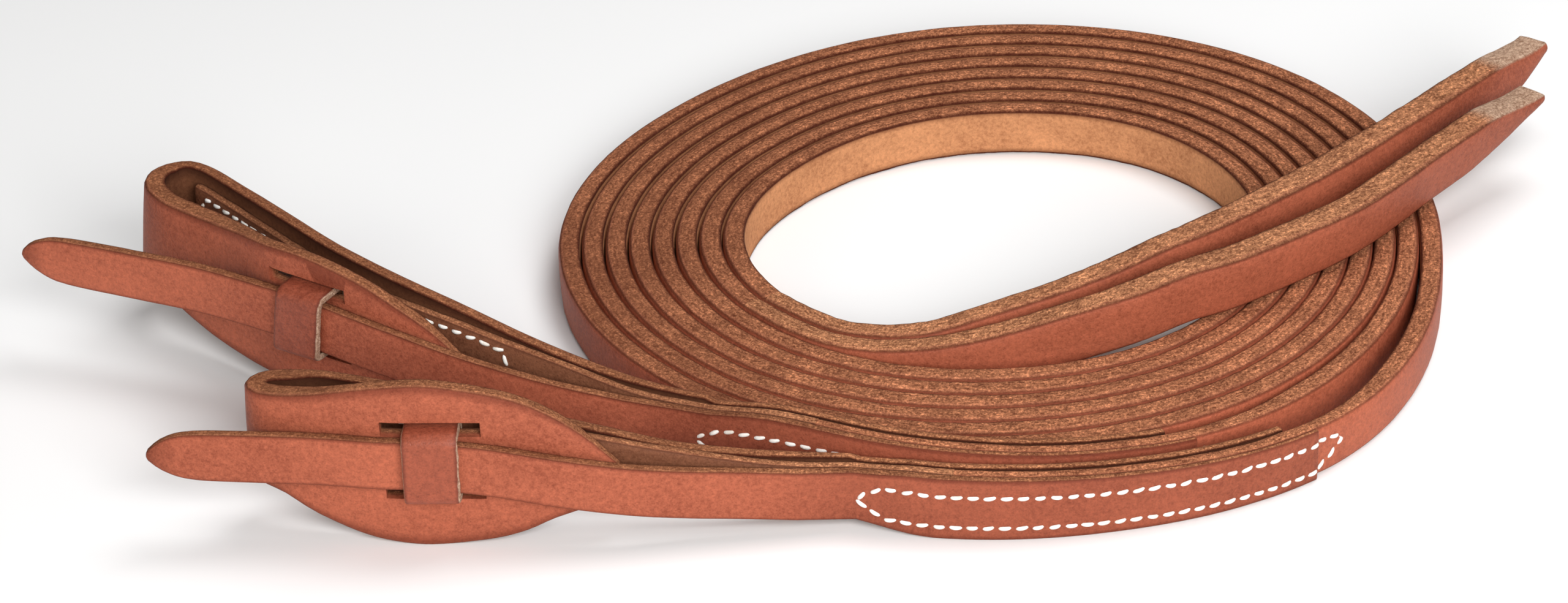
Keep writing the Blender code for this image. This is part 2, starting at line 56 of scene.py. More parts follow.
# Straps
REIN_HALF = 6.35
REIN_THICK = 5.2
REIN_LAP_THICK = (2.2, 3.6)
TONGUE_THICK = (2.4, 0.9)
LOOP_THICK = 3.4
LOOP_LAP_THICK = 2.4
FLAP_END_THICK = 2.0
FLAP_THIN_LENGTH = 14.0
LAP_THIN_LENGTH = 30.0
TAIL_WIDTH = 14.0
TAIL_THICK = 8.0
TAIL_GROWS = 60.0
TAIL_THICKENS = 160.0
TIP_CUT_LENGTH = 26.0
TIP_CUT_DROP = 3.0
TIP_CUT_FROM = -5                # in TAILS; from here the lower edge rises and the upper one doesn't
TAIL_FRESH_CUT = ((20, 1.0), (26, 0.0))     # by distance from the tip
LAP_TRIM = 0.12
LOOP_HINGE_HALF = 7.0
END_ROUND = 0.32
SHARP_DEGREES = 50
REIN_EDGES = dict(grain_round=1.25, flesh_round=0.85)
THIN_EDGES = dict(grain_round=0.5, flesh_round=0.3, rough=0.14)

# Camera: near side, 31 degrees up and 1 m away, aimed a little left of the coil's middle
CAMERA_AT = (0.046856, -0.852495, 0.517147)
CAMERA_TURN = (58.59, 2.3055, 2.2283)
CAMERA_LENS = 92.8146

# Coil: bearings in degrees from the near side, anticlockwise seen from above
COIL_CENTRE = (-3.6, 3.8)
FIRST_RADIUS = 110.2
PAIR_PITCH = 11.6
COIL_END = 1380.0
BEARING_STOP = 45.0
EXTRA_RADIUS = (-1.2, 1.5, 3.2, 6.8, 4.8, 1.7, 4.4, 1.0)
EXTRA_PITCH = (-0.2, -0.3, -0.5, 0.5, 1.0, 0.3, 0.0, -0.1)
PUSH_END = 88.0
THICKER_FROM, THICKER_THICK = 1200.0, 5.4

LAPS = {
    "front": dict(left=-15.2, tongue_right=38.5, loop_right=35.5,
                  face=((-16, 116.05), (0, 116.1), (15, 116.9), (30, 118.7), (39, 119.4)),
                  middle=((-15.2, 9.6), (-6, 8.2), (38.5, 6.8), (50, 6.35))),
    "rear": dict(left=-36.0, tongue_right=26.0, loop_right=23.0,
                 face=((-36, 112.4), (-33, 110.6), (-30, 109.1), (-26.25, 107.8), (-22.5, 107.1),
                       (-18, 106.9)),
                 middle=((-36, 12.3), (-6, 10.2), (18, 7.8), (26, 6.8), (38, 6.35))),
}
LAP_HALF_WIDTH = ((0.0, 6.35), (0.14, 8.0), (0.6, 7.4), (1.0, 6.7))
HINGE_BEARING = 0.4
# Folds: how far each one swells, by place in LOOPS, with the extra thickness and the lean in degrees
FOLDS = {
    "front": dict(stops=((7, 0.0), (9, 1.0), (13, 1.0), (13.8, 0.0)), extra=1.5, lean=3.0),
    "rear": dict(stops=((6, 0.0), (8.5, 1.0), (12.8, 1.0), (13.6, 0.0)), extra=1.7, lean=7.5),
}

# Loop straps, from the flap's free end round the fold to the lap: x, y, middle height, half width
LOOPS = {
    "front": ((-85.5, -109.4, 15.6, 4.6), (-93.6, -109.8, 19.0, 10.0), (-100.6, -110.0, 20.6, 13.9),
              (-107.2, -110.2, 20.8, 17.2), (-114.8, -110.3, 20.9, 19.4), (-126.5, -110.1, 21.15, 21.15),
              (-134.5, -109.9, 21.2, 20.9), (-143.8, -108.8, 21.4, 19.3), (-153.7, -106.9, 22.4, 15.8),
              (-161, -105.0, 24.0, 12.8), (-166.6, -102.3, 24.4, 11.8), (-168.6, -98.9, 24.4, 11.8),
              (-166.6, -95.6, 24.4, 11.8), (-161.2, -94.2, 24.3, 11.8), (-150.6, -95.6, 24.0, 11.8),
              (-135.8, -97.5, 22.5, 11.4), (-121, -99.5, 21.0, 11.0), (-105.4, -101.8, 19.0, 9.8),
              (-90, -103.0, 16.5, 8.8), (-75, -103.6, 13.6, 8.0), (-60, -103.6, 11.6, 7.7),
              (-47, -102.9, 10.3, 7.6)),
    "rear": ((-123.2, -70.0, 17.0, 4.6), (-131.7, -67.6, 20.2, 10.0), (-140.4, -64.6, 21.2, 14.6),
             (-147, -61.8, 21.5, 17.6), (-154.6, -58.0, 22.2, 19.2), (-162.4, -53.3, 23.1, 19.3),
             (-169.4, -48.9, 23.6, 18.6), (-177.6, -41.6, 23.3, 17.3), (-186.5, -33.6, 23.4, 15.2),
             (-195, -26.6, 24.6, 13.4), (-202.5, -20.0, 26.2, 11.8), (-207, -12.6, 26.3, 11.8),
             (-206.6, -5.6, 26.3, 11.8), (-201.6, -1.4, 26.2, 11.8), (-194, -4.0, 26.0, 11.8),
             (-183.5, -13.6, 25.2, 12.0), (-170.5, -27.0, 24.8, 12.2), (-157.3, -39.6, 23.8, 12.2),
             (-141.7, -51.2, 22.4, 11.9), (-125.2, -59.6, 20.1, 10.6), (-110, -66.2, 17.1, 9.2),
             (-96, -71.8, 14.7, 8.2), (-82, -77.3, 13.0, 7.8)),
}
INNER_END_FROM = 14              # in LOOPS
INNER_END_RISE = 2.2
INNER_END_RISE_LENGTH = 40

# Tongues, from the tip to the lap: x, y, middle height, half width
TIPS = {
    "front": ((-192, -106.9, 22.2, 0.9), (-190.2, -107.0, 22.2, 2.7), (-186.8, -107.3, 22.3, 4.8),
              (-181.0, -107.8, 22.4, 6.1), (-166.5, -109.4, 22.8, 6.35), (-152, -111.2, 23.2, 6.35),
              (-139.4, -113.2, 23.3, 6.35)),
    "rear": ((-235.8, -24.8, 26.7, 0.9), (-234.1, -25.4, 26.7, 2.7), (-230.6, -26.8, 26.6, 4.8),
             (-224.5, -29.0, 26.5, 6.1), (-206, -36.0, 26.5, 6.35), (-189, -43.4, 26.9, 6.35),
             (-173.6, -51.6, 27.0, 6.35)),
}
TONGUES = {
    "front": ((-138.7, -113.3, 23.3, 6.35), (-126.9, -113.6, 22.9, 6.3), (-114, -113.8, 21.3, 6.35),
              (-98, -113.5, 17.8, 6.4), (-83, -112.6, 14.9, 6.35), (-70, -111.1, 13.0, 6.35),
              (-60, -110.0, 12.0, 6.35), (-47, -108.7, 10.6, 6.35)),
    "rear": ((-173.0, -51.95, 27.0, 6.35), (-163, -57.4, 26.6, 6.5), (-152, -63.4, 25.4, 6.5),
             (-140, -68.6, 23.4, 6.4), (-124, -73.9, 19.9, 6.35), (-105, -79.0, 16.4, 6.35),
             (-87, -82.9, 14.0, 6.35)),
}
KEEPERS = {
    "front": dict(at=(-126.9, -113.6), middle=22.8, turn=0.0, flap_behind=3.9, skew=0.03),
    "rear": dict(at=(-163, -57.4), middle=26.5, turn=-28.6, flap_behind=4.6, skew=0.17),
}
KEEPER_LENGTH = 12.4
KEEPER_WALL = 1.9
KEEPER_ROOM = 0.5
KEEPER_INNER_HALF = 7.3
KEEPER_CORNER = 1.9
KEEPER_GRAIN_ROUND = 0.42
KEEPER_FLESH_ROUND = 0.3
SLOT_LENGTH = 22.5
SLOT_HEIGHT = 3.7
SLOT_REACH = 3.4                 # of the cutter, each way through the flap
TONGUE_SKIVE = ((0, 0.75), (9, 1.0))        # share of the thickness, by section from the tip
TIP_BURNISH_LENGTH = 8.0
LAP_BURNISH = 0.62
LAP_BURNISH_FADE = 25

# Tails, from the coil to the tip: x, y, height of the lower edge, lean of the top towards the outside
TAILS = {
    "front": ((-50.2, -39.8, 0.0, 0), (-39.5, -47.6, 0.0, 0), (-28, -51.3, 0.2, 0), (-14, -51.6, 1.0, 0),
              (1, -49.6, 3.4, 0), (15, -47.8, 7.0, 1), (30, -45.2, 10.8, 2), (42.2, -39.9, 13.1, 3),
              (54.3, -33.4, 13.2, 4), (70.2, -21.4, 13.2, 6), (82, -11.6, 13.2, 8), (93, 0.6, 13.3, 9),
              (104, 14.5, 13.5, 10), (115, 27.5, 14.2, 10), (125, 39, 17.3, 10), (133.9, 49, 21.7, 10)),
    "rear": ((-47.6, -33.7, 0.0, 0), (-39.6, -40.4, 0.0, 0), (-31.7, -43.8, 0.2, 0), (-24, -45.2, 0.5, 0),
             (-15, -44.4, 1.2, 0), (0.5, -40.0, 3.8, 0), (13.5, -36.6, 6.6, 1), (26, -32.6, 9.6, 1),
             (38.5, -26.6, 12.4, 0), (50.6, -19.0, 13.2, -2), (77, 4.8, 13.2, -4), (94.7, 23.5, 13.3, -6),
             (112, 43.0, 13.6, -7), (124, 57.0, 15.6, -8), (131.8, 67.5, 18.4, -8), (137.6, 76.2, 21.8, -8)),
}

FINE_STEP = 2.2                  # between sections of a strap
FINE_BEARING = 1.25
STITCH_PITCH = 3.72
STITCH_LENGTH = 2.75
STITCH_RADIUS = 0.52
LAP_THREAD_RISE = 0.14
END_THREAD_RISE = 0.12
LAP_STITCHES = {"front": dict(shift=0.2, high=3.5), "rear": dict(shift=-0.6, high=2.7)}
END_STITCHES = {                 # run of the first and last stitch, and the upper row's height
    "front": (4.0, 50.0, 2.4),
    "rear": (1.5, 103.0, 4.4),
}
SPLIT_BEARING = {"front": -4.0, "rear": -22.0}   # hidden join in the rein, inside the sewn lap
LAP_BEND_DEPTH = 3.9
LAP_BEND_REACH = 3.5
TAIL_BEND_REACH = 4.5
TIP_BEND_REACH = 3.0

REIN_SEEDS = {"front": 1.0, "rear": 21.0}
FLOOR_HALF = 6.0
WORLD_STRENGTH = 0.13
LIGHTS = (                       # name, place, size, power, colour; all aim at the origin
    ("key", (0.36, -1.04, 0.66), (0.7, 0.6), 16.0, (1.0, 1.0, 1.0)),
    ("fill", (-0.85, -0.85, 0.45), (0.9, 0.7), 3.6, (1.0, 0.95, 0.9)),
    ("top", (0.40, 0.25, 1.2), (0.7, 0.7), 8.5, (1.0, 1.0, 1.0)),
)
UNDER_GRAIN = (0.50, 0.17, 0.10)
FRESH_CUT = ((0.28, 0.15, 0.09), (0.50, 0.33, 0.23), (0.72, 0.53, 0.39))


# ---------------------------------------------------------------- curves
def level_between(stops, x):
    """Value at x between (x, value) stops, level at every stop."""
    if x <= stops[0][0]:
        return stops[0][1]
    for (x0, v0), (x1, v1) in zip(stops, stops[1:]):
        if x <= x1:
            t = (x - x0) / (x1 - x0)
            return v0 + (v1 - v0) * t * t * (3 - 2 * t)
    return stops[-1][1]


def straight_between(stops, x):
    if x <= stops[0][0]:
        return stops[0][1]
    for (x0, v0), (x1, v1) in zip(stops, stops[1:]):
        if x <= x1:
            return v0 + (v1 - v0) * (x - x0) / (x1 - x0)
    return stops[-1][1]


def through(p0, p1, p2, p3, t):
    """Catmull-Rom value between p1 and p2."""
    return 0.5 * (2 * p1 + (p2 - p0) * t + (2 * p0 - 5 * p1 + 4 * p2 - p3) * t * t
                  + (3 * p1 - p0 - 3 * p2 + p3) * t * t * t)


def soft_between(stops, x):
    """Value at x on a smooth curve through (x, value) stops."""
    if x <= stops[0][0]:
        return stops[0][1]
    for i in range(len(stops) - 1):
        if x <= stops[i + 1][0]:
            four = [stops[k][1] for k in (max(i - 1, 0), i, i + 1, min(i + 2, len(stops) - 1))]
            return through(*four, (x - stops[i][0]) / (stops[i + 1][0] - stops[i][0]))
    return stops[-1][1]


def round_table(table, bearing):
    place = (bearing % 360.0) / BEARING_STOP
    i = int(place)
    near = [table[(i + k) % len(table)] for k in (-1, 0, 1, 2)]
    return through(*near, place - i)


def smooth_route(points, step=FINE_STEP):
    stations = []
    count = len(points)
    for i in range(count - 1):
        four = [points[max(i - 1, 0)], points[i], points[i + 1], points[min(i + 2, count - 1)]]
        parts = max(1, round(math.dist(points[i][:2], points[i + 1][:2]) / step))
        for k in range(parts):
            stations.append(tuple(through(*values, k / parts) for values in zip(*four)))
    stations.append(tuple(points[-1]))
    return stations


def polar(radius, bearing):
    turn = math.radians(bearing)
    return (COIL_CENTRE[0] + radius * math.sin(turn), COIL_CENTRE[1] - radius * math.cos(turn))


def normals(line):
    out = []
    for i in range(len(line)):
        a, b = line[max(i - 1, 0)], line[min(i + 1, len(line) - 1)]
        dx, dy = b[0] - a[0], b[1] - a[1]
        size = math.hypot(dx, dy)
        out.append((dy / size, -dx / size))
    return out


def lengths(line):
    total, out = 0.0, [0.0]
    for a, b in zip(line, line[1:]):
        total += math.dist(a[:2], b[:2])
        out.append(total)
    return out


def in_metres(x, y, z=0.0):
    return Vector(((x + PLAN_SHIFT[0]) * MM, (y + PLAN_SHIFT[1]) * MM, z * MM))


# ---------------------------------------------------------------- the coil and the sewn laps
def round_radius(rein, bearing):
    pitch = PAIR_PITCH + round_table(EXTRA_PITCH, bearing)
    radius = FIRST_RADIUS + round_table(EXTRA_RADIUS, bearing) - pitch * bearing / 360.0
    return radius - (pitch / 2 if rein == "rear" else 0.0)


def lap_share(rein, bearing):
    lap = LAPS[rein]
    return min(max((bearing - lap["left"]) / (lap["tongue_right"] - lap["left"]), 0.0), 1.0)


def tongue_thick(rein, bearing):
    return TONGUE_THICK[0] + (TONGUE_THICK[1] - TONGUE_THICK[0]) * lap_share(rein, bearing)


def lap_face(rein, bearing):
    return soft_between(LAPS[rein]["face"], bearing)


def rein_face(rein, bearing):
    end = LAPS[rein]["tongue_right"]
    if bearing <= end:
        return lap_face(rein, bearing) - tongue_thick(rein, bearing) - GAP
    push = lap_face(rein, end) - TONGUE_THICK[1] - GAP - round_radius(rein, end)
    return round_radius(rein, bearing) + push * level_between(((end, 1.0), (PUSH_END, 0.0)), bearing)


def rein_thick(rein, bearing):
    end = LAPS[rein]["tongue_right"]
    if bearing <= end:
        return REIN_LAP_THICK[0] + (REIN_LAP_THICK[1] - REIN_LAP_THICK[0]) * lap_share(rein, bearing)
    return level_between(((end, REIN_LAP_THICK[1]), (end + 20, REIN_THICK),
                          (THICKER_FROM, REIN_THICK), (COIL_END, THICKER_THICK)), bearing)


def lap_middle(rein, bearing):
    return soft_between(LAPS[rein]["middle"], bearing)


def lap_half(rein, bearing):
    return soft_between(LAP_HALF_WIDTH, lap_share(rein, bearing))


def rein_half(rein, bearing):
    """Trimmed flush with the lap's layers, then back to the strap's own width."""
    end = LAPS[rein]["tongue_right"]
    if bearing <= end:
        return lap_half(rein, bearing) - LAP_TRIM
    return level_between(((end, lap_half(rein, end) - LAP_TRIM), (end + 12, REIN_HALF)), bearing)


def bearings(first, last, step=FINE_BEARING):
    inner = [k * step for k in range(math.ceil((first + 0.4) / step), math.floor((last - 0.4) / step) + 1)]
    return [first] + inner + [last]


def coil_stations(rein, first, last):
    out = []
    for bearing in bearings(first, last):
        t = rein_thick(rein, bearing)
        x, y = polar(rein_face(rein, bearing) - t / 2, bearing)
        out.append((x, y, lap_middle(rein, bearing), rein_half(rein, bearing), t, 0.0))
    return out


def at_hinge(rein, inward):
    bearing = LAPS[rein]["left"] - HINGE_BEARING
    return polar(LAPS[rein]["face"][0][1] - inward, bearing)


def loop_thick(run):
    out = []
    for s in run:
        from_flap = level_between(((0, FLAP_END_THICK), (FLAP_THIN_LENGTH, LOOP_THICK)), s)
        from_lap = level_between(((0, LOOP_LAP_THICK), (LAP_THIN_LENGTH, LOOP_THICK)), run[-1] - s)
        out.append(min(from_flap, from_lap))
    return out


def loop_route(rein):
    depth = TONGUE_THICK[0] + GAP + REIN_LAP_THICK[0] + GAP + LOOP_LAP_THICK / 2
    hinge = (*at_hinge(rein, depth), LAPS[rein]["middle"][0][1], LOOP_HINGE_HALF)
    return smooth_route(LOOPS[rein] + (hinge,))


# ---------------------------------------------------------------- strap meshes
def section(half, thick, grain_round, flesh_round, crown):
    """Points round a strap's section: offset, height, how far grain side, how far flesh side."""
    q = thick / 2
    grain_round = min(grain_round, 0.45 * thick, 0.45 * half)
    flesh_round = min(flesh_round, 0.45 * thick, 0.45 * half)
    corners = []
    for sx, sz, r, start in ((1, -1, grain_round, -90), (1, 1, grain_round, 0),
                             (-1, 1, flesh_round, 90), (-1, -1, flesh_round, 180)):
        arc = []
        for k in range(3):
            turn = math.radians(start + 45 * k)
            share = k / 2 if sx * sz < 0 else 1 - k / 2
            arc.append((sx * (q - r) + r * math.cos(turn), sz * (half - r) + r * math.sin(turn),
                        share if sx > 0 else 0.0, share if sx < 0 else 0.0))
        corners.append(arc)
    points = []
    for i, arc in enumerate(corners):
        points += arc
        a, b = arc[-1], corners[(i + 1) % 4][0]
        parts = 4 if i % 2 == 0 else 3
        for k in range(1, parts):
            t = k / parts
            bulge = crown * 4 * t * (1 - t)
            x, z = a[0] + (b[0] - a[0]) * t, a[1] + (b[1] - a[1]) * t
            if i % 2 == 0:
                x += math.copysign(bulge * (1.0 if i == 0 else -0.5), x)
            else:
                z += math.copysign(bulge * 0.6, z)
            points.append((x, z, a[2] + (b[2] - a[2]) * t, a[3] + (b[3] - a[3]) * t))
    return points


def ragged(s, seed, size):
    return (noise.noise(Vector((s * 0.11, seed, 0.3))) * 0.7
            + noise.noise(Vector((s * 0.53, seed, 4.1))) * 0.45
            + noise.noise(Vector((s * 1.9, seed, 9.7))) * 0.25) * size


def strap(name, stations, grain=1.0, start=0.0, seed=0.0, grain_round=0.9, flesh_round=0.45,
          crown=0.16, rough=0.22, ends=(True, True), tone=None):
    """A strap on edge. Stations are x, y, middle height, half width, thickness, lean in degrees.

    tone(run, left, z) says how burnished (-1) or freshly cut (+1) the leather is. Each point's "side"
    holds how far it is on the grain side, how far on the flesh side, and its place across the strap;
    its "place" holds the length along the strap, the share of the half width, and the tone.
    """
    stations = list(stations)
    if ends[1]:
        a, b = stations[-2], stations[-1]
        t = 1 - END_ROUND / max(math.dist(a[:2], b[:2]), 1.2 * END_ROUND)
        stations.insert(-1, tuple(p + (q - p) * t for p, q in zip(a, b)))
    if ends[0]:
        a, b = stations[0], stations[1]
        t = END_ROUND / max(math.dist(a[:2], b[:2]), 1.2 * END_ROUND)
        stations.insert(1, tuple(p + (q - p) * t for p, q in zip(a, b)))
    trim = [0.0] * len(stations)
    if ends[0]:
        trim[0] = END_ROUND
    if ends[1]:
        trim[-1] = END_ROUND
    run = lengths(stations)
    verts, sides, places = [], [], []
    for i, ((x, y, middle, half, thick, lean), (nx, ny)) in enumerate(zip(stations, normals(stations))):
        s = start + run[i]
        half, thick = half - trim[i], thick - 2 * trim[i] * 0.8
        points = section(half, thick * (1 + ragged(s, seed + 40, 0.05)), grain_round, flesh_round, crown)
        for off, z, on_grain, on_flesh in points:
            if on_grain < 0.5 and on_flesh < 0.9:
                z += ragged(s, seed + (7 if z > 0 else 13) + 0.6 * off, rough)
            across = off / (thick / 2)
            off = off * grain + math.tan(math.radians(lean)) * z
            verts.append(in_metres(x + nx * off, y + ny * off, max(middle + z, 0.02)))
            sides.append((on_grain, on_flesh, across))
            places.append((s * MM, z / half, tone(run[i], run[-1] - run[i], z) if tone else 0.0))
    size = len(verts) // len(stations)
    faces = []
    for i in range(len(stations) - 1):
        for k in range(size):
            m = (k + 1) % size
            faces.append((i * size + k, i * size + m, (i + 1) * size + m, (i + 1) * size + k))
    faces.append(tuple(range(size)))
    faces.append(tuple(range((len(stations) - 1) * size, len(stations) * size)))
    return make_object(name, verts, faces, sides, places)


def make_object(name, verts, faces, sides=None, places=None):
    bm = bmesh.new()
    made = [bm.verts.new(v) for v in verts]
    for face in faces:
        bm.faces.new([made[i] for i in face])
    bmesh.ops.recalc_face_normals(bm, faces=bm.faces)
    mesh = bpy.data.meshes.new(name)
    bm.to_mesh(mesh)
    bm.free()
    for label, values in (("side", sides), ("place", places)):
        if values:
            attribute = mesh.attributes.new(label, "FLOAT_VECTOR", "POINT")
            attribute.data.foreach_set("vector", [c for v in values for c in v])
    mesh.shade_smooth()
    mesh.set_sharp_from_angle(angle=math.radians(SHARP_DEGREES))
    obj = bpy.data.objects.new(name, mesh)
    bpy.context.scene.collection.objects.link(obj)
    return obj


# ---------------------------------------------------------------- materials
class Nodes:
    """Short calls for building one material's node tree."""

    def __init__(self, name):
        self.mat = bpy.data.materials.new(name)
        self.mat.use_nodes = True
        self.tree = self.mat.node_tree
        self.shader = self.tree.nodes["Principled BSDF"]

    def node(self, kind, **inputs):
        made = self.tree.nodes.new(kind)
        for key, value in inputs.items():
            self.put(made.inputs[key.replace("_", " ")], value)
        return made

    def put(self, socket, value):
        if isinstance(value, bpy.types.NodeSocket):
            self.tree.links.new(value, socket)
        else:
            socket.default_value = value

    def noise(self, vector, scale, detail=4.0, rough=0.6, distortion=0.0):
        made = self.node("ShaderNodeTexNoise", Scale=scale, Detail=detail, Roughness=rough,
                         Distortion=distortion)
        self.put(made.inputs["Vector"], vector)
        return made.outputs["Fac"]

    def math(self, kind, a, b=0.0, c=0.0):
        made = self.tree.nodes.new("ShaderNodeMath")
        made.operation = kind
        for i, value in enumerate((a, b, c)):
            self.put(made.inputs[i], value)
        return made.outputs[0]

    def ramp(self, fac, *stops):
        """Grey or colour ramp through (position, value) stops."""
        made = self.tree.nodes.new("ShaderNodeValToRGB")
        elements = made.color_ramp.elements
        while len(elements) < len(stops):
            elements.new(0.5)
        for element, (at, value) in zip(elements, stops):
            element.position = at
            colour = value if isinstance(value, tuple) else (value, value, value)
            element.color = (*colour, 1.0)
        self.put(made.inputs["Fac"], fac)
        return made.outputs["Color"]

    def mix(self, fac, a, b):
        made = self.tree.nodes.new("ShaderNodeMix")
        made.data_type = "RGBA"
        self.put(made.inputs["Factor"], fac)
        for i, value in ((6, a), (7, b)):
            self.put(made.inputs[i], (*value, 1.0) if isinstance(value, tuple) else value)
        return made.outputs[2]

    def attribute(self, name):
        made = self.tree.nodes.new("ShaderNodeAttribute")
        made.attribute_name = name
        split = self.tree.nodes.new("ShaderNodeSeparateXYZ")
        self.put(split.inputs[0], made.outputs["Vector"])
        return split.outputs

    def axis(self, vector, name):
        split = self.node("ShaderNodeSeparateXYZ")
        self.put(split.inputs[0], vector)
        return split.outputs[name]

    def vector(self, x, y, z):
        made = self.tree.nodes.new("ShaderNodeCombineXYZ")
        for i, value in enumerate((x, y, z)):
            self.put(made.inputs[i], value)
        return made.outputs[0]

    def bump(self, height, strength, distance):
        return self.node("ShaderNodeBump", Height=height, Strength=strength, Distance=distance).outputs[0]


def scaled(colour, by):
    """A colour made lighter, or darker and a little redder."""
    r, g, b = colour
    if by >= 1:
        return r * by, g * by, b * by
    return r * by, g * by ** 1.35, b * by ** 1.45


def leather(name, grain, edge, flesh, roughness=0.40, shine=0.13):
    """Grain side, cut edges and flesh side in one material, told apart by the strap's own attributes."""
    n = Nodes(name)
    where = n.tree.nodes.new("ShaderNodeTexCoord").outputs["Object"]
    on_grain, on_flesh, across = n.attribute("side")
    along, height, tone = n.attribute("place")
    fresh = n.ramp(tone, (0.0, 0.0), (0.9, 1.0))
    burnt = n.ramp(n.math("MULTIPLY", tone, -1.0), (0.1, 0.0), (1.0, 1.0))

    # Grain side: clouds, pebbles, specks, fine pores, and a darker rim that is partly burnished leather and
    # partly painted shade where the strap meets the next layer
    clouds = n.noise(where, 26.0, 5.0, 0.62)
    pebbles = n.noise(where, 900.0, 4.0, 0.74)
    specks = n.noise(where, 2400.0, 3.0, 0.75)
    mixed = n.math("ADD", n.math("MULTIPLY", clouds, 0.30), n.math("MULTIPLY", pebbles, 0.42))
    mixed = n.math("ADD", mixed, n.math("MULTIPLY", specks, 0.28))
    face = n.ramp(mixed, (0.39, scaled(grain, 0.66)), (0.5, grain), (0.61, scaled(grain, 1.32)))
    pores = n.node("ShaderNodeTexVoronoi", Scale=1150.0)
    n.put(pores.inputs["Vector"], where)
    pore_depth = n.ramp(pores.outputs["Distance"], (0.0, 0.0), (0.35, 1.0))
    # painted shade: the pores are darkened in colour as well as sunk by the bump
    face = n.mix(n.math("MULTIPLY", n.math("SUBTRACT", 1.0, pore_depth), 0.28), face, scaled(grain, 0.55))
    # partly painted shade: the grain face darkens at its top and bottom rims, where the layers meet
    rim_wave = n.math("ADD", n.math("ABSOLUTE", height), n.math("MULTIPLY", clouds, 0.10))
    burnish = n.ramp(rim_wave, (0.90, 0.0), (1.0, 1.0))
    face = n.mix(n.math("MULTIPLY", burnish, 0.62), face, scaled(grain, 0.36))

    # Cut edge: short fibres along the strap, pale crumbs, a red stripe under the grain, painted shade
    # darkening it to the left, and dark rims of painted shade in the gaps between layers
    strands = n.vector(n.math("MULTIPLY", along, 420.0), n.math("MULTIPLY", across, 3.4), 0.0)
    fibre = n.noise(strands, 1.0, 5.0, 0.7, 0.3)
    crumbs = n.noise(where, 1700.0, 3.0, 0.8)
    patches = n.noise(where, 110.0, 3.0, 0.6)
    # painted shade: the cut edge darkens towards the left, away from the key light, with a slow wobble
    left_shade = n.math("ADD", n.math("MULTIPLY", n.axis(where, "X"), 4.0), n.noise(where, 14.0, 2.0, 0.5))
    rag = n.math("ADD", n.math("MULTIPLY", fibre, 0.36), n.math("MULTIPLY", crumbs, 0.52))
    rag = n.math("ADD", rag, n.math("MULTIPLY", patches, 0.12))
    rim = n.ramp(rag, (0.41, scaled(edge, 0.40)), (0.49, scaled(edge, 0.90)), (0.55, scaled(edge, 1.5)),
                 (0.62, scaled(edge, 3.0)))
    rim = n.mix(n.ramp(left_shade, (0.18, 0.5), (0.62, 0.0)), rim, scaled(edge, 0.45))
    under = n.ramp(across, (0.50, 0.0), (0.70, 1.0), (0.80, 0.6), (0.88, 0.0))
    rim = n.mix(n.math("MULTIPLY", under, 0.30), rim, UNDER_GRAIN)
    # painted shade: dark rims along both borders of the cut edge, where the layers meet
    gap_shade = n.ramp(n.math("ABSOLUTE", across), (0.66, 0.0), (0.94, 1.0))
    rim = n.mix(n.math("MULTIPLY", gap_shade, 0.90), rim, scaled(grain, 0.13))
    cut = n.ramp(rag, *zip((0.42, 0.5, 0.58), FRESH_CUT))
    rim = n.mix(n.math("MULTIPLY", fresh, 0.85), rim, cut)

    # Flesh side: short fuzzy nap, and painted shade darkening it towards the top and bottom rims
    nap = n.noise(where, 1000.0, 5.0, 0.78, 0.3)
    drift = n.noise(where, 60.0, 3.0, 0.6)
    nap_tone = n.math("ADD", n.math("MULTIPLY", nap, 0.65), n.math("MULTIPLY", drift, 0.35))
    suede = n.ramp(nap_tone, (0.36, scaled(flesh, 0.66)), (0.5, flesh), (0.63, scaled(flesh, 1.28)))
    shade = n.ramp(n.math("ABSOLUTE", height), (0.70, 0.0), (0.95, 0.8))
    suede = n.mix(shade, suede, scaled(flesh, 0.2))

    grain_mask = n.ramp(on_grain, (0.35, 0.0), (0.75, 1.0))
    flesh_mask = n.ramp(on_flesh, (0.80, 0.0), (1.0, 1.0))
    colour = n.mix(flesh_mask, n.mix(grain_mask, rim, face), suede)
    colour = n.mix(n.math("MULTIPLY", burnt, 0.5), colour, scaled(grain, 0.16))
    n.put(n.shader.inputs["Base Color"], colour)

    dullness = n.math("ADD", n.math("MULTIPLY", pebbles, 0.22), roughness)
    n.put(n.shader.inputs["Roughness"], n.mix(grain_mask, n.vector(0.92, 0.92, 0.92), dullness))
    n.shader.inputs["Specular IOR Level"].default_value = shine

    fine = n.noise(where, 2600.0, 3.0, 0.7)
    skin = n.math("ADD", n.math("MULTIPLY", pore_depth, 0.4), n.math("MULTIPLY", fine, 0.35))
    skin = n.math("ADD", skin, n.math("MULTIPLY", pebbles, 0.8))
    loose = n.math("ADD", n.math("MULTIPLY", rag, 3.0), n.math("MULTIPLY", crumbs, 1.6))
    relief = n.mix(grain_mask, n.mix(flesh_mask, loose, nap), skin)
    n.put(n.shader.inputs["Normal"], n.bump(relief, 0.5, 0.0004))
    return n.mat


def thread_material():
    n = Nodes("thread")
    where = n.tree.nodes.new("ShaderNodeTexCoord").outputs["Object"]
    dirt = n.noise(where, 300.0, 4.0, 0.6)
    n.put(n.shader.inputs["Base Color"],
          n.ramp(dirt, (0.3, (0.70, 0.62, 0.52)), (0.5, (0.93, 0.90, 0.84)), (0.7, (1.0, 0.98, 0.94))))
    n.shader.inputs["Roughness"].default_value = 0.75
    twist = n.noise(where, 2400.0, 3.0, 0.6, 1.2)
    n.put(n.shader.inputs["Normal"], n.bump(twist, 0.5, 0.0002))
    return n.mat


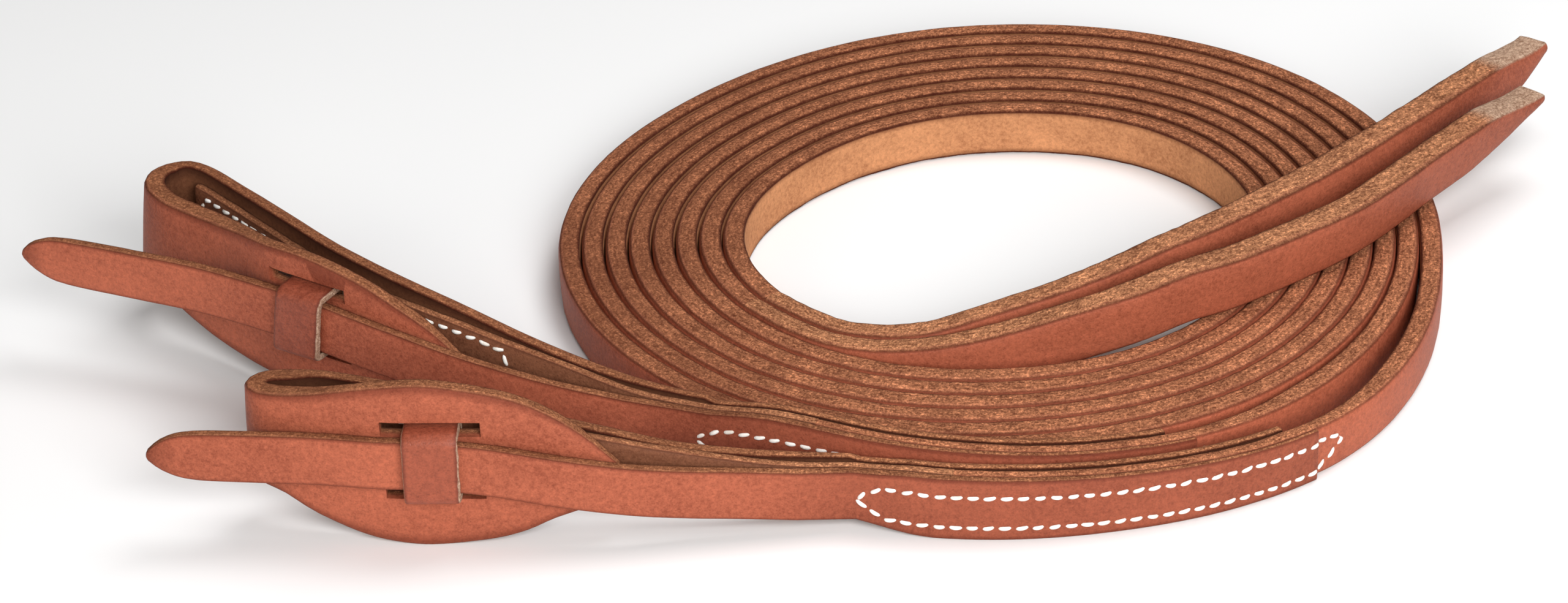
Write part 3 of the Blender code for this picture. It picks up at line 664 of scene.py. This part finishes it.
def floor_material():
    n = Nodes("floor_white")
    where = n.tree.nodes.new("ShaderNodeTexCoord").outputs["Object"]
    n.put(n.shader.inputs["Base Color"],
          n.ramp(n.noise(where, 3.0, 2.0), (0.0, (0.93, 0.93, 0.93)), (1.0, (0.96, 0.96, 0.96))))
    n.shader.inputs["Roughness"].default_value = 0.9
    n.shader.inputs["Specular IOR Level"].default_value = 0.1
    return n.mat


STRAP = leather("strap_leather", (0.385, 0.102, 0.052), (0.340, 0.130, 0.062), (0.53, 0.240, 0.110))
TAIL = leather("tail_leather", (0.350, 0.094, 0.048), (0.400, 0.172, 0.082), (0.40, 0.15, 0.065))
# painted shade: the inner end's grain and flesh are darker copies of the strap's, for the shade inside the
# loop
SHADED_INNER_END = leather("inner_end_leather_painted_shade", (0.20, 0.075, 0.038), (0.36, 0.155, 0.074), (0.30, 0.125, 0.055))
# painted shade: the flesh side is near black, for the shade inside the loop
LOOP_SHADED_FLESH = leather("loop_leather_shaded_flesh", (0.362, 0.096, 0.050), (0.34, 0.138, 0.064), (0.14, 0.052, 0.024))
KEEPER = leather("keeper_leather", (0.275, 0.066, 0.034), (0.58, 0.32, 0.19), (0.42, 0.18, 0.08), 0.31, 0.24)
THREAD = thread_material()


def finish_piece(obj, mat, nodes, body=None):
    obj.data.materials.clear()
    obj.data.materials.append(mat)
    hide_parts(*nodes)
    if body:
        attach(obj, body)


def blend_at(obj, at, towards, reach):
    """Bakes the piece's placement into its mesh."""
    middle, way = Vector(at), Vector(towards)
    way = way.normalized() * reach
    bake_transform(obj)


# ---------------------------------------------------------------- pieces
def make_rein(rein, seed):
    first = SPLIT_BEARING[rein]
    stations = coil_stations(rein, first, COIL_END)
    run = lengths(stations)
    coil = strap(rein + "_rein", stations, seed=seed, ends=(False, False), **REIN_EDGES)
    finish_piece(coil, STRAP, [rein + "_rein_coil"], "coil")

    # Tail: carries on where the coil's last section is
    joint = stations[-1]
    before = stations[-3]
    route = smooth_route(((*joint[:2], 0.0, 0.0),) + TAILS[rein])
    tail_run = lengths(route)
    out = []
    for (x, y, low, lean), s in zip(route, tail_run):
        low = max(low, 0.0)
        left = tail_run[-1] - s
        grow = level_between(((0, 0.0), (TAIL_GROWS, 1.0)), s)
        thicken = level_between(((0, 0.0), (TAIL_THICKENS, 1.0)), s)
        width = 2 * REIN_HALF + (TAIL_WIDTH - 2 * REIN_HALF) * grow
        whole = level_between(((0, 0.0), (TIP_CUT_LENGTH, 1.0)), left)
        base = min(low, TAILS[rein][TIP_CUT_FROM][2])
        top = base + width - TIP_CUT_DROP * (1 - whole)
        thick = THICKER_THICK + (TAIL_THICK - THICKER_THICK) * thicken
        out.append((x, y, (low + top) / 2, (top - low) / 2, thick, lean))
    tail = strap(rein + "_tail", out, start=run[-1], seed=seed, ends=(False, True), rough=0.3,
                 tone=lambda run, left, z: level_between(TAIL_FRESH_CUT, left) if z > 0 else 0.0,
                 **REIN_EDGES)
    finish_piece(tail, TAIL, [rein + "_rein_tail"])
    way = (joint[0] - before[0], joint[1] - before[1])
    middle = (joint[0] + way[0] * 0.8, joint[1] + way[1] * 0.8)
    blend_at(tail, middle, way, TAIL_BEND_REACH)

    # Inner end: from its square end, along the loop's back leaf, into the lap
    whole_loop = loop_route(rein)
    start = LOOPS[rein][INNER_END_FROM]
    begin = min(range(len(whole_loop)), key=lambda i: math.dist(whole_loop[i][:2], start[:2]))
    thick = loop_thick(lengths(whole_loop))
    inner = []
    layers = list(zip(whole_loop, normals(whole_loop), thick))
    for (x, y, middle_z, _), (nx, ny), behind in layers[begin:-2]:
        off = behind / 2 + GAP + REIN_LAP_THICK[0] / 2
        inner.append((x + nx * off, y + ny * off, middle_z, REIN_HALF, REIN_LAP_THICK[0], 0.0))
    left = [lengths(inner)[-1] - s for s in lengths(inner)]
    rise = ((0, 0.0), (INNER_END_RISE_LENGTH, INNER_END_RISE))
    inner = [(x, y, z + level_between(rise, far), *more)
             for (x, y, z, *more), far in zip(inner, left)]
    joined = inner + coil_stations(rein, LAPS[rein]["left"], first)
    end = strap(rein + "_inner_end", joined, seed=seed, start=-lengths(joined)[-1], ends=(True, False))
    finish_piece(end, SHADED_INNER_END, [rein + "_rein_inner_end"])
    bend_piece_at_lap(end, rein)
    return inner


def bend_piece_at_lap(obj, rein):
    """Bakes the placement of a piece of the bit end into its mesh."""
    cut = LAPS[rein]["left"] - HINGE_BEARING / 2
    turn = math.radians(cut)
    way = (-math.cos(turn), -math.sin(turn))
    blend_at(obj, at_hinge(rein, LAP_BEND_DEPTH), way, LAP_BEND_REACH)


def lap_layer(rein, right, radius_of, thick_of):
    out = []
    for bearing in bearings(LAPS[rein]["left"], right):
        x, y = polar(radius_of(bearing), bearing)
        out.append((x, y, lap_middle(rein, bearing), lap_half(rein, bearing), thick_of(bearing), 0.0))
    return out


def make_tongue(rein, seed):
    lap = LAPS[rein]
    route = TIPS[rein][:-1] + TONGUES[rein]
    stations = [(*p, TONGUE_THICK[0], 0.0) for p in smooth_route(route)]
    stations = [(x, y, z, half, t * level_between(TONGUE_SKIVE, i), lean)
                for i, (x, y, z, half, t, lean) in enumerate(stations)]
    layer = lap_layer(rein, lap["tongue_right"],
                      lambda b: lap_face(rein, b) - tongue_thick(rein, b) / 2,
                      lambda b: tongue_thick(rein, b))
    keeper = KEEPERS[rein]["at"]
    split = min(range(len(stations)), key=lambda i: math.dist(stations[i][:2], keeper))
    run = lengths(stations)
    tip = strap(rein + "_tongue_end", stations[:split + 1], seed=seed + 5, ends=(True, False),
                tone=lambda run, left, z: -1.0 + min(run / TIP_BURNISH_LENGTH, 1.0), **THIN_EDGES)
    finish_piece(tip, LOOP_SHADED_FLESH, [rein + "_tongue_tip"])
    (x0, y0), (x1, y1) = TIPS[rein][-1][:2], TONGUES[rein][0][:2]
    middle = ((x0 + x1) / 2, (y0 + y1) / 2)
    blend_at(tip, middle, (x0 - x1, y0 - y1), TIP_BEND_REACH)
    sewn = lengths(layer)[-1]
    burnish = ((sewn, 1.0), (sewn + LAP_BURNISH_FADE, 0.0))
    body = strap(rein + "_tongue_strap", stations[split:] + layer, start=run[split], seed=seed + 5,
                 ends=(False, True), tone=lambda run, left, z: -LAP_BURNISH * level_between(burnish, left),
                 **THIN_EDGES)
    finish_piece(body, LOOP_SHADED_FLESH, [rein + "_tongue", rein + "_tongue_lap"])
    bend_piece_at_lap(body, rein)


def keeper_frame(rein):
    keeper = KEEPERS[rein]
    turn = math.radians(keeper["turn"])
    along = (math.cos(turn), math.sin(turn))
    return keeper["at"], along, (along[1], -along[0])


def make_loop(rein, seed):
    lap = LAPS[rein]
    route = loop_route(rein)
    run = lengths(route)
    marks = []
    for k, point in enumerate(LOOPS[rein]):
        near = min(range(len(route)), key=lambda i: math.dist(route[i][:2], point[:2]))
        marks.append((run[near], k))
    fold = FOLDS[rein]
    stations = []
    for (x, y, z, half), (nx, ny), t, s in zip(route, normals(route), loop_thick(run), run):
        swell = level_between(fold["stops"], straight_between(marks, s))
        extra = fold["extra"] * swell
        stations.append((x + nx * extra / 2, y + ny * extra / 2, z, half, t + extra, fold["lean"] * swell))
    layer = lap_layer(rein, lap["loop_right"],
                      lambda b: rein_face(rein, b) - rein_thick(rein, b) - GAP - LOOP_LAP_THICK / 2,
                      lambda b: LOOP_LAP_THICK)
    loop = strap(rein + "_loop", stations[:-1] + layer, grain=-1.0, seed=seed + 9, rough=0.16)
    cutters = [slot_cutter(rein, side) for side in (1, -1)]
    for cutter in cutters:
        cut = loop.modifiers.new("slot", "BOOLEAN")
        cut.operation = "DIFFERENCE"
        cut.solver = "EXACT"
        cut.object = cutter
    graph = bpy.context.evaluated_depsgraph_get()
    whole, loop.data = loop.data, bpy.data.meshes.new_from_object(loop.evaluated_get(graph))
    loop.modifiers.clear()
    copy_attributes(whole, loop.data)
    loop.data.shade_smooth()
    loop.data.set_sharp_from_angle(angle=math.radians(SHARP_DEGREES))
    for cutter in cutters:
        bpy.data.objects.remove(cutter)
    finish_piece(loop, LOOP_SHADED_FLESH, [rein + "_loop_strap", rein + "_loop_lap"])
    bend_piece_at_lap(loop, rein)


def copy_attributes(source, target):
    """Gives every point of a cut mesh the values of the nearest point before the cut."""
    tree = kdtree.KDTree(len(source.vertices))
    for i, vertex in enumerate(source.vertices):
        tree.insert(vertex.co, i)
    tree.balance()
    near = [tree.find(vertex.co)[1] for vertex in target.vertices]
    for label in ("side", "place"):
        if label in target.attributes:
            target.attributes.remove(target.attributes[label])
        made = target.attributes.new(label, "FLOAT_VECTOR", "POINT")
        values = source.attributes[label].data
        made.data.foreach_set("vector", [c for i in near for c in values[i].vector])


def slot_cutter(rein, side):
    at, along, out = keeper_frame(rein)
    centre = KEEPER_INNER_HALF + KEEPER_WALL / 2
    deep = KEEPERS[rein]["flap_behind"]
    verts = []
    for u in (-SLOT_LENGTH / 2, SLOT_LENGTH / 2):
        for v in (-deep - SLOT_REACH, -deep + SLOT_REACH):
            for w in (-SLOT_HEIGHT / 2, SLOT_HEIGHT / 2):
                verts.append(in_metres(at[0] + along[0] * u + out[0] * v, at[1] + along[1] * u + out[1] * v,
                                       KEEPERS[rein]["middle"] + side * centre + w))
    faces = ((0, 1, 3, 2), (4, 6, 7, 5), (0, 4, 5, 1), (2, 3, 7, 6), (0, 2, 6, 4), (1, 5, 7, 3))
    flat = [(0.0, 0.0, 0.0)] * 8
    return make_object("slot_cutter", verts, faces, flat, flat)


def make_keeper(rein, seed):
    """A leather band bent round the tongue and the flap's bridge."""
    at, along, out = keeper_frame(rein)
    front = TONGUE_THICK[0] / 2 + KEEPER_ROOM + KEEPER_WALL / 2
    back = -(KEEPERS[rein]["flap_behind"] + LOOP_THICK / 2 + KEEPER_ROOM + KEEPER_WALL / 2)
    half_high = KEEPER_INNER_HALF + KEEPER_WALL / 2
    corner = KEEPER_CORNER
    line = []
    for k, (sx, sy) in enumerate(((1, 1), (-1, 1), (-1, -1), (1, -1))):
        cx = (front if sx > 0 else back) - sx * corner
        cy = sy * (half_high - corner)
        for i in range(7):
            turn = math.radians(90 * k + 15 * i)
            line.append((cx + corner * math.cos(turn), cy + corner * math.sin(turn),
                         math.cos(turn), math.sin(turn)))
        if k % 2 == 1:
            for t in (0.12, 0.25, 0.38, 0.5, 0.62, 0.75, 0.88):
                side_x = front if k == 3 else back
                y = (-half_high + corner) + (2 * (half_high - corner)) * (t if k == 3 else 1 - t)
                bulge = 0.12 * math.sin(math.pi * t)
                line.append((side_x + bulge * (1 if k == 3 else -1), y, 1.0 if k == 3 else -1.0, 0.0))
    half_wall, half_long = KEEPER_WALL / 2, KEEPER_LENGTH / 2
    ring = section(half_long, KEEPER_WALL, KEEPER_GRAIN_ROUND, KEEPER_FLESH_ROUND, 0.05)
    size = len(ring)
    verts, sides, places = [], [], []
    run = 0.0
    for i, (v, w, nv, nw) in enumerate(line):
        if i:
            run += math.dist(line[i - 1][:2], (v, w))
        for off, u, on_grain, on_flesh in ring:
            if abs(u) > half_long - 1.0:
                rag = 0.5 if u > 0 else 0.12
                u += ragged(run * 1.6, seed + (3 if u > 0 else 5) + off, rag)
            skew = KEEPERS[rein]["skew"] * w
            x = at[0] + along[0] * (u + skew) + out[0] * (v + nv * off)
            y = at[1] + along[1] * (u + skew) + out[1] * (v + nv * off)
            verts.append(in_metres(x, y, KEEPERS[rein]["middle"] + w + nw * off))
            sides.append((on_grain, on_flesh, off / half_wall))
            places.append((run * MM, u / half_long, 0.9 if u > 0 else 0.2))
    faces = []
    count = len(line)
    for i in range(count):
        j = (i + 1) % count
        for k in range(size):
            m = (k + 1) % size
            faces.append((i * size + k, i * size + m, j * size + m, j * size + k))
    obj = make_object(rein + "_keeper_band", verts, faces, sides, places)
    finish_piece(obj, KEEPER, [rein + "_keeper"], rein + "_keeper_ring")


# ---------------------------------------------------------------- stitching
def stitch_mesh(name, path, pick):
    """Separate stitches round a closed path of surface points with outward normals, as one piece."""
    run = [0.0]
    points = path + [path[0]]
    for a, b in zip(points, points[1:]):
        run.append(run[-1] + (b[0] - a[0]).length)
    total = run[-1]
    count = max(1, round(total / (STITCH_PITCH * MM)))
    pitch = total / count

    def at(s):
        s = min(max(s, 0.0), total)
        i = max(0, min(len(run) - 2, next((k for k in range(len(run) - 1) if run[k + 1] >= s), len(run) - 2)))
        t = (s - run[i]) / max(run[i + 1] - run[i], 1e-9)
        return points[i][0].lerp(points[i + 1][0], t), points[i][1].lerp(points[i + 1][1], t).normalized()

    verts, faces = [], []
    rings, around = 9, 8
    for number in range(count):
        middle = (number + 0.5) * pitch + pick.uniform(-0.1, 0.1) * MM
        long = (STITCH_LENGTH + pick.uniform(-0.25, 0.25)) * MM
        tilt = pick.uniform(-0.16, 0.16) + 0.10
        base = len(verts)
        start_point, _ = at(middle - long / 2)
        end_point, _ = at(middle + long / 2)
        along = (end_point - start_point).normalized()
        for k in range(rings):
            t = k / (rings - 1)
            point, out = at(middle - long / 2 + long * t)
            cross = out.cross(along).normalized()
            arch = math.sin(math.pi * t)
            size = STITCH_RADIUS * MM * (0.45 + 0.55 * arch ** 0.5)
            centre = point + out * (0.34 * arch ** 0.7 - 0.22) * MM + cross * tilt * (t - 0.5) * long
            for m in range(around):
                turn = 2 * math.pi * m / around
                verts.append(centre + cross * size * math.cos(turn) + out * size * 0.8 * math.sin(turn))
        for k in range(rings - 1):
            for m in range(around):
                q = (m + 1) % around
                faces.append((base + k * around + m, base + k * around + q,
                              base + (k + 1) * around + q, base + (k + 1) * around + m))
        faces.append(tuple(base + m for m in range(around)))
        faces.append(tuple(base + (rings - 1) * around + m for m in range(around)))
    return make_object(name, verts, faces)


def lap_surface(rein, bearing, w):
    """A point of the lap's outer face with its outward normal."""
    end = LAPS[rein]["tongue_right"]
    face = lap_face(rein, bearing)
    if bearing > end:
        face = rein_face(rein, bearing)
    x, y = polar(face + LAP_THREAD_RISE, bearing)
    turn = math.radians(bearing)
    return in_metres(x, y, lap_middle(rein, bearing) + w), Vector((math.sin(turn), -math.cos(turn), 0))


def make_lap_stitches(rein, seed):
    lap = LAPS[rein]
    pick = random.Random(seed)
    left, end = lap["left"] + LAP_STITCHES[rein]["shift"], lap["tongue_right"]
    high = LAP_STITCHES[rein]["high"]
    top = ((left + 3.4, high), (end - 0.3, 3.0))
    bottom = ((left + 3.4, -4.7), (end - 0.3, -4.2))
    marks = [(left, -0.5), (left + 1.5, high - 1.7), (left + 3.4, high)]
    marks += [(b, straight_between(top, b)) for b in bearings(left + 5, end - 0.3, 2.0)]
    marks += [(end + 0.6, 2.9), (end + 2.3, 2.6), (end + 3.5, 2.0), (end + 4.0, 1.0), (end + 3.1, -0.7),
              (end + 1.9, -2.5), (end + 0.6, -3.9)]
    marks += [(b, straight_between(bottom, b)) for b in reversed(bearings(left + 5, end - 0.3, 2.0))]
    marks += [(left + 3.4, -4.6), (left + 1.5, -2.6)]
    path = [lap_surface(rein, b, w) for b, w in marks]
    stitches = stitch_mesh(rein + "_lap_stitches", path, pick)
    finish_piece(stitches, THREAD, [rein + "_lap_stitching"], "coil")


def make_end_stitches(rein, inner, seed):
    pick = random.Random(seed)
    run = lengths(inner)
    sides = normals(inner)
    first, last, high = END_STITCHES[rein]
    marks = [(first, 0.0), (first + 3, high)]
    marks += [(s, high) for s in run if first + 5 < s < last - 5]
    marks += [(last - 0.8, high - 0.2), (last, 0.0), (last - 0.8, -4.2)]
    marks += [(s, -4.4) for s in reversed(run) if first + 5 < s < last - 5] + [(first + 3, -4.4)]
    path = []
    for s, w in marks:
        i = max(k for k in range(len(run) - 1) if run[k] <= s)
        t = (s - run[i]) / (run[i + 1] - run[i])
        x, y, middle = (inner[i][k] + (inner[i + 1][k] - inner[i][k]) * t for k in range(3))
        nx, ny = (sides[i][k] + (sides[i + 1][k] - sides[i][k]) * t for k in range(2))
        off = REIN_LAP_THICK[0] / 2 + END_THREAD_RISE
        path.append((in_metres(x + nx * off, y + ny * off, middle + w), Vector((nx, ny, 0))))
    stitches = stitch_mesh(rein + "_end_stitches", path, pick)
    finish_piece(stitches, THREAD, [rein + "_end_stitching"], rein + "_bit_end")


def make_stage():
    verts = [Vector((x * FLOOR_HALF, y * FLOOR_HALF, 0.0)) for x, y in ((-1, -1), (1, -1), (1, 1), (-1, 1))]
    floor = make_object("floor", verts, [(0, 1, 2, 3)])
    floor.data.materials.append(floor_material())


def make_light(name, at, size, power, colour):
    data = bpy.data.lights.new(name, "AREA")
    data.shape = "RECTANGLE"
    data.size, data.size_y = size
    data.energy = power
    data.color = colour
    light = bpy.data.objects.new(name, data)
    light.location = at
    light.rotation_euler = (-Vector(at)).to_track_quat("-Z", "Y").to_euler()
    bpy.context.scene.collection.objects.link(light)


def make_camera():
    data = bpy.data.cameras.new("camera")
    data.sensor_width = 36.0
    data.lens = CAMERA_LENS
    data.clip_start = 0.05
    camera = bpy.data.objects.new("camera", data)
    camera.location = CAMERA_AT
    camera.rotation_euler = [math.radians(turn) for turn in CAMERA_TURN]
    bpy.context.scene.collection.objects.link(camera)
    bpy.context.scene.camera = camera


def main():
    make_camera()
    for rein, seed in REIN_SEEDS.items():
        inner = make_rein(rein, seed)
        make_loop(rein, seed)
        make_tongue(rein, seed)
        make_keeper(rein, seed)
        make_lap_stitches(rein, int(seed) + 100)
        make_end_stitches(rein, inner, int(seed) + 200)
    make_stage()
    world = bpy.data.worlds.new("studio")
    world.use_nodes = True
    background = world.node_tree.nodes["Background"]
    background.inputs["Color"].default_value = (1.0, 1.0, 1.0, 1.0)
    background.inputs["Strength"].default_value = WORLD_STRENGTH
    scene = bpy.context.scene
    scene.world = world
    scene.view_settings.view_transform = "Standard"
    for light in LIGHTS:
        make_light(*light)


main()
